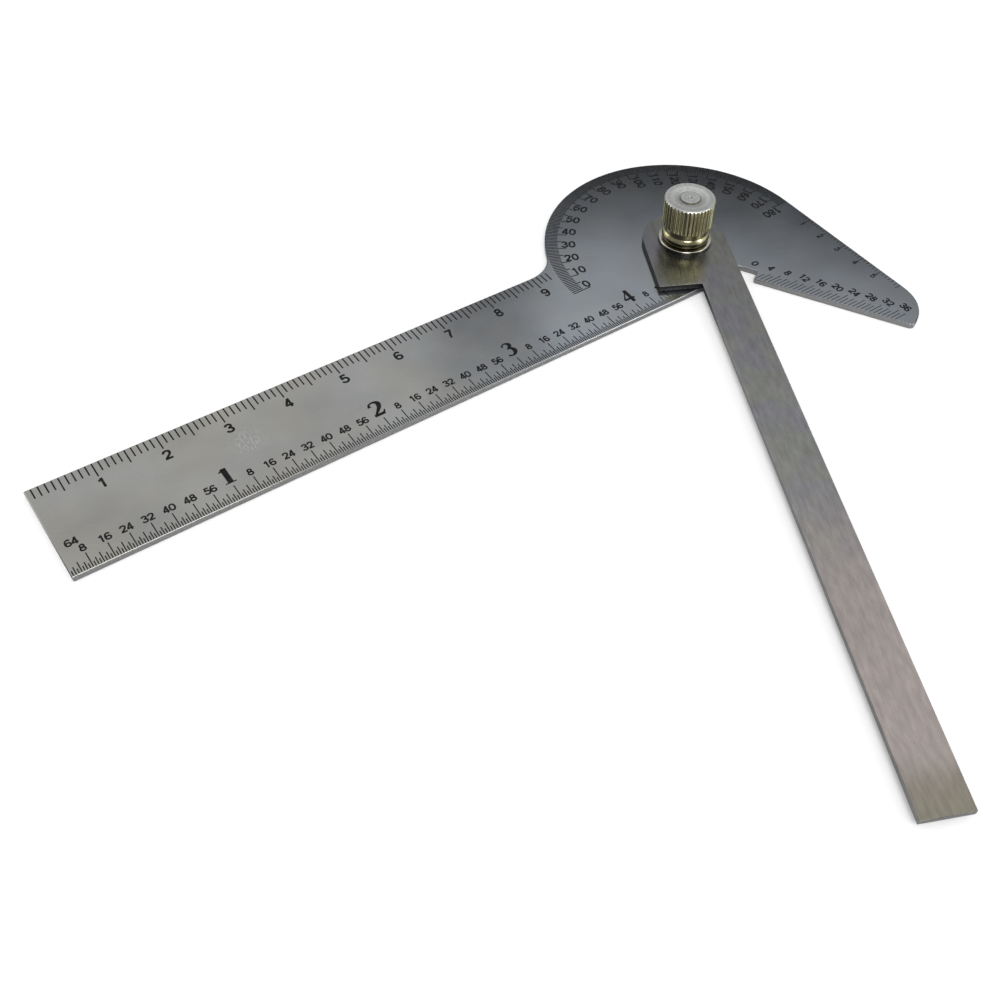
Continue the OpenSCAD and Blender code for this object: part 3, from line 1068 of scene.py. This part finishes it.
degree_figures = bmesh.new()
for degree in range(0, HALF_TURN + 1, DEGREE_FIGURE_STEP):
    figures = str(degree)
    middle = DEGREE_FIGURE_START - len(figures) * DEGREE_FIGURE_PITCH / 2
    centre = dial(degree, middle) + unit(90 - degree) * (DEGREE_FIGURE / 2 + DEGREE_FIGURE_ASIDE)
    stamp(degree_figures, figures, centre, -degree, DEGREE_FIGURE, DEGREE_FIGURE_PITCH)
add_piece("degree_figures", degree_figures, "frame", ETCHED_BLACK)

tail_figures = bmesh.new()
for step in range(0, TAIL_FIGURE_LAST + 1, TAIL_FIGURE_STEP):
    centre = on_tail(step) + unit(0) * TAIL_FIGURE_OUT
    stamp(tail_figures, str(step), centre, -90, TAIL_FIGURE, TAIL_FIGURE_PITCH)
for number in range(1, RIM_FIGURES + 1):
    centre = on_rim(number * RIM_FIGURE_STEP, RIM_FIGURE_INSET)
    stamp(tail_figures, str(number), centre, -90, RIM_FIGURE, TAIL_FIGURE_PITCH)
add_piece("tail_figures", tail_figures, "frame", ETCHED_BLACK)

# %% [markdown]
# The numerals of the whole inches are cut with thick stems and thin serifs. One width for a whole
# numeral, as in the small figures, would lose both, so here each point of a stroke has its own.

# %% Inch numerals
NUMERAL_HEIGHT, NUMERAL_BASE = 3.4, 3.85
NUMERALS = {
    1: [
        [(0, 0, 0.13), (0, 0.98, 0.13)],
        [(-0.24, 0.8, 0.03), (-0.11, 0.87, 0.05), (0, 0.98, 0.03)],
        [(-0.25, 0.03, 0.03), (0.25, 0.03, 0.03)],
    ],
    2: [
        [(-0.24, 0.7, 0.09), (-0.2, 0.88, 0.05), (0, 0.95, 0.05), (0.2, 0.86, 0.1), (0.22, 0.68, 0.12),
         (0.1, 0.45, 0.09), (-0.26, 0.07, 0.04)],
        [(-0.3, 0.08, 0.08), (0.24, 0.08, 0.08)],
        [(0.2, 0.1, 0.06), (0.31, 0.28, 0.025)],
    ],
    3: [
        [(-0.22, 0.78, 0.06), (-0.14, 0.91, 0.04), (0.03, 0.95, 0.05), (0.17, 0.83, 0.1),
         (0.14, 0.66, 0.09), (-0.06, 0.55, 0.03)],
        [(-0.06, 0.55, 0.03), (0.15, 0.5, 0.08), (0.22, 0.3, 0.12), (0.1, 0.09, 0.08), (-0.1, 0.04, 0.04),
         (-0.24, 0.12, 0.075)],
    ],
    4: [
        [(0.11, 0, 0.1), (0.11, 0.98, 0.1)],
        [(0.14, 0.97, 0.03), (-0.29, 0.31, 0.045)],
        [(-0.31, 0.29, 0.065), (0.31, 0.29, 0.065)],
    ],
}

inch_numerals = bmesh.new()
for number, strokes in NUMERALS.items():
    base = Vector((zero_end + number * INCH, inch_edge + NUMERAL_BASE, 0))
    spot = Matrix.Translation(base) @ Matrix.Scale(NUMERAL_HEIGHT, 4)
    for order, stroke in enumerate(strokes):
        pen(inch_numerals, stroke, spot, STROKE_LIFT * order)
add_piece("inch_numerals", inch_numerals, "frame", ETCHED_BLACK)
